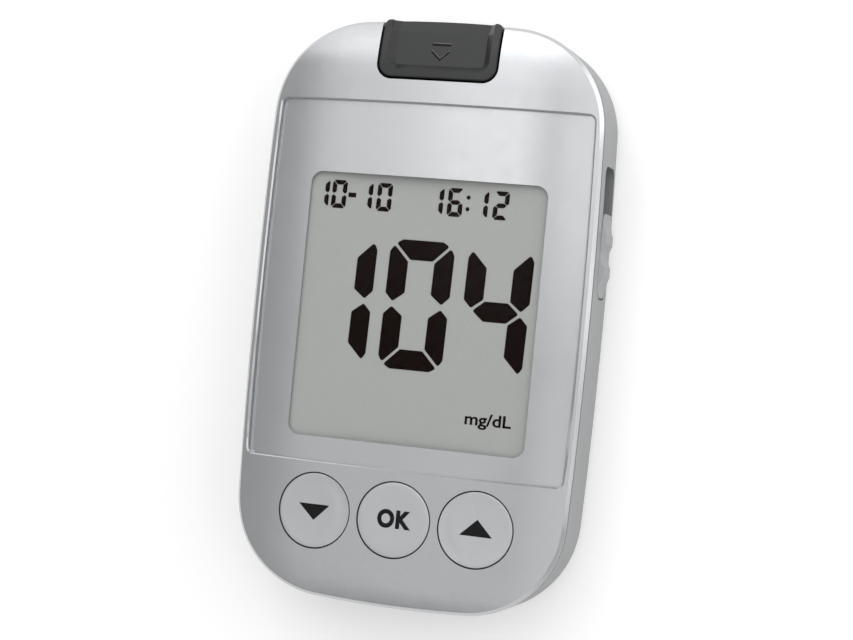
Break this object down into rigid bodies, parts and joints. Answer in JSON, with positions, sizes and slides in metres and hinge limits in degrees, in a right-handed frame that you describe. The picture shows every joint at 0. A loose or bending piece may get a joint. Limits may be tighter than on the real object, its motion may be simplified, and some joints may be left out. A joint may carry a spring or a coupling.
{
  "type": "blood glucose meter",
  "caption": "Handheld blood glucose meter with a crowned silver case, large display, round push buttons, a strip port on its end and a strip ejector on its side.",
  "frame": {"origin": "centre of the flat back, on the surface that the meter lies on", "axes": "+X to the right across the face, +Y along the length towards the strip port, +Z out of the face"},
  "size_m": [0.0568, 0.0943, 0.0161],
  "materials": {
    "silver_shell": "satin metallic silver paint",
    "silver_button": "satin metallic silver paint",
    "grey_shell": "fine satin moulded grey",
    "clear_window": "clear polished acrylic",
    "silver_print": "silver back print",
    "lcd_glass": "grey-green reflective display",
    "reflector_foil": "brushed foil",
    "inner_plastic": "plain moulded",
    "elastomer": "matt",
    "board_green": "solder mask",
    "chip_black": "moulded resin",
    "solder_tin": "tinned",
    "screw_steel": "zinc plated",
    "port_black": "satin moulded charcoal",
    "contact_brass": "gold plated",
    "spring_steel": "drawn wire",
    "cell_steel": "nickel plated"
  },
  "bodies": {
    "root": {"front_shell": "silver_shell", "rear_shell": "grey_shell", "window_lens": "clear_window", "window_mask": "silver_print", "lcd_cell": "lcd_glass", "lcd_reflector": "reflector_foil", "lcd_frame": "inner_plastic", "lcd_connector_strips": "elastomer", "switch_bases": "solder_tin", "port_bezel": "port_black", "strip_connector": "chip_black", "strip_contacts": "contact_brass", "ejector_spring": "spring_steel", "main_board": "board_green", "controller_chip": "chip_black", "board_components": "solder_tin", "buzzer": "chip_black", "board_screws": "screw_steel", "case_screws": "screw_steel", "coin_cell_left": "cell_steel", "coin_cell_right": "cell_steel", "battery_leaf": "contact_brass"},
    "down_button": {"button_down": "silver_button", "switch_plunger_down": "inner_plastic"},
    "ok_button": {"button_ok": "silver_button", "switch_plunger_ok": "inner_plastic"},
    "up_button": {"button_up": "silver_button", "switch_plunger_up": "inner_plastic"},
    "ejector": {"ejector_knob": "grey_shell", "ejector_carriage": "chip_black"},
    "door": {"battery_door": "grey_shell"}
  },
  "joints": [
    {"name": "press_down", "type": "slide", "parent": "root", "child": "down_button", "axis": [0, 0, -1], "range_m": [0, 0.0004], "stiffness_N_per_m": 400, "springref_m": -0.002},
    {"name": "press_ok", "type": "slide", "parent": "root", "child": "ok_button", "axis": [0, 0, -1], "range_m": [0, 0.0004], "stiffness_N_per_m": 400, "springref_m": -0.002},
    {"name": "press_up", "type": "slide", "parent": "root", "child": "up_button", "axis": [0, 0, -1], "range_m": [0, 0.0004], "stiffness_N_per_m": 400, "springref_m": -0.002},
    {"name": "eject", "type": "slide", "parent": "root", "child": "ejector", "axis": [0, 1, 0], "range_m": [0, 0.0072], "stiffness_N_per_m": 150, "springref_m": -0.002, "deforming": ["ejector_spring"]},
    {"name": "door_hinge", "type": "hinge", "parent": "root", "child": "door", "pos_m": [0, -0.0124, 0.0008], "axis": [1, 0, 0], "range_deg": [0, 70]}
  ]
}
